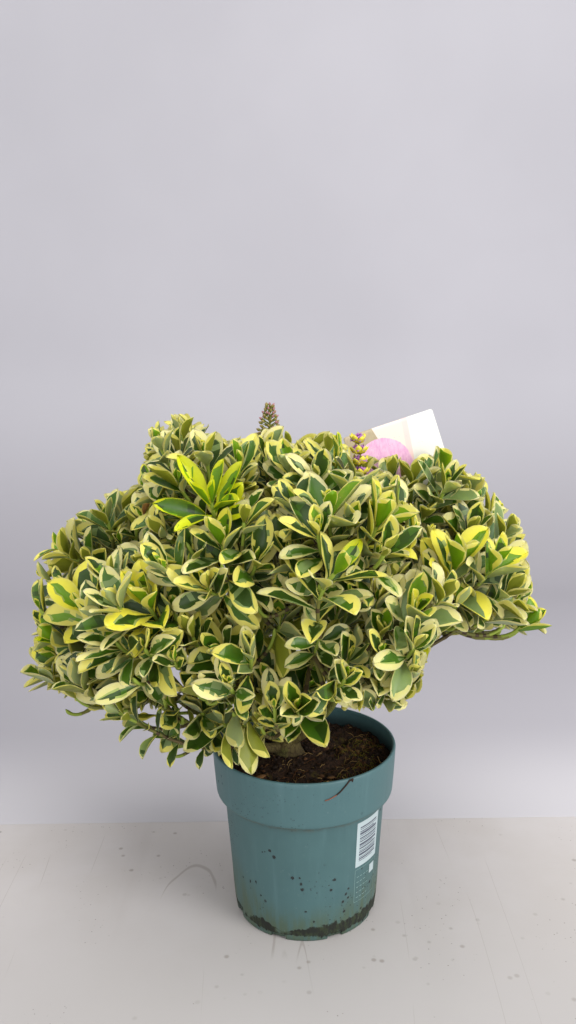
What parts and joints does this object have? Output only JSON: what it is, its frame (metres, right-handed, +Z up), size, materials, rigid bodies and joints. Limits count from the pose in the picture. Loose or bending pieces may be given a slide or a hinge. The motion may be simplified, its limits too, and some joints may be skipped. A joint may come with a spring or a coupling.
{
  "type": "variegated hebe shrub in a nursery pot",
  "caption": "Bushy evergreen shrub with cream-edged green leaves on branching stems, growing in a round tapered plastic pot.",
  "frame": {"origin": "middle of the pot's flat underside", "axes": "+Z up along the pot's axis; the plant's fuller side, with its low branch to the left, faces -Y"},
  "size_m": [0.3969, 0.3152, 0.407],
  "materials": {
    "pot": "satin teal plastic, dusty, with dirt at the foot",
    "soil": "damp peat with fibres and a little moss",
    "bark": "matt brownish-green bark with leaf scars",
    "foliage": "glossy leaves, green in the middle with cream to yellow edges",
    "card": "satin card with plain colour fields"
  },
  "bodies": {
    "root": {"pot": "pot", "soil": "soil", "trunk": "bark", "bough_left_low": "bark", "bough_left_far_low": "bark", "bough_left_under": "bark", "bough_left_side": "bark", "bough_left_shoulder": "bark", "bough_left_front": "bark", "bough_top_left_back": "bark", "bough_top_left": "bark", "bough_left_high": "bark", "bough_top_middle": "bark", "bough_front_mid": "bark", "bough_front_left": "bark", "bough_centre_high": "bark", "bough_right_low": "bark", "bough_right_front": "bark", "bough_right_upper": "bark", "bough_right_far_low": "bark", "bough_right_side": "bark", "bough_right_top": "bark", "bough_top_right": "bark", "bough_back_top": "bark", "bough_back_centre": "bark", "bough_back_left_high": "bark", "bough_back_right_high": "bark", "bough_back_left": "bark", "bough_back_right": "bark", "bough_back_right_low": "bark", "foliage_left_low": "foliage", "foliage_left_far_low": "foliage", "foliage_left_under": "foliage", "foliage_left_side": "foliage", "foliage_left_shoulder": "foliage", "foliage_left_front": "foliage", "foliage_top_left_back": "foliage", "foliage_top_left": "foliage", "foliage_left_high": "foliage", "foliage_top_middle": "foliage", "foliage_front_mid": "foliage", "foliage_front_left": "foliage", "foliage_centre_high": "foliage", "foliage_right_low": "foliage", "foliage_right_front": "foliage", "foliage_right_upper": "foliage", "foliage_right_far_low": "foliage", "foliage_right_side": "foliage", "foliage_right_top": "foliage", "foliage_top_right": "foliage", "foliage_back_top": "foliage", "foliage_back_centre": "foliage", "foliage_back_left_high": "foliage", "foliage_back_right_high": "foliage", "foliage_back_left": "foliage", "foliage_back_right": "foliage", "foliage_back_right_low": "foliage", "foliage_back_left_low": "foliage", "foliage_front_low": "foliage", "label_card": "card"}
  },
  "joints": []
}
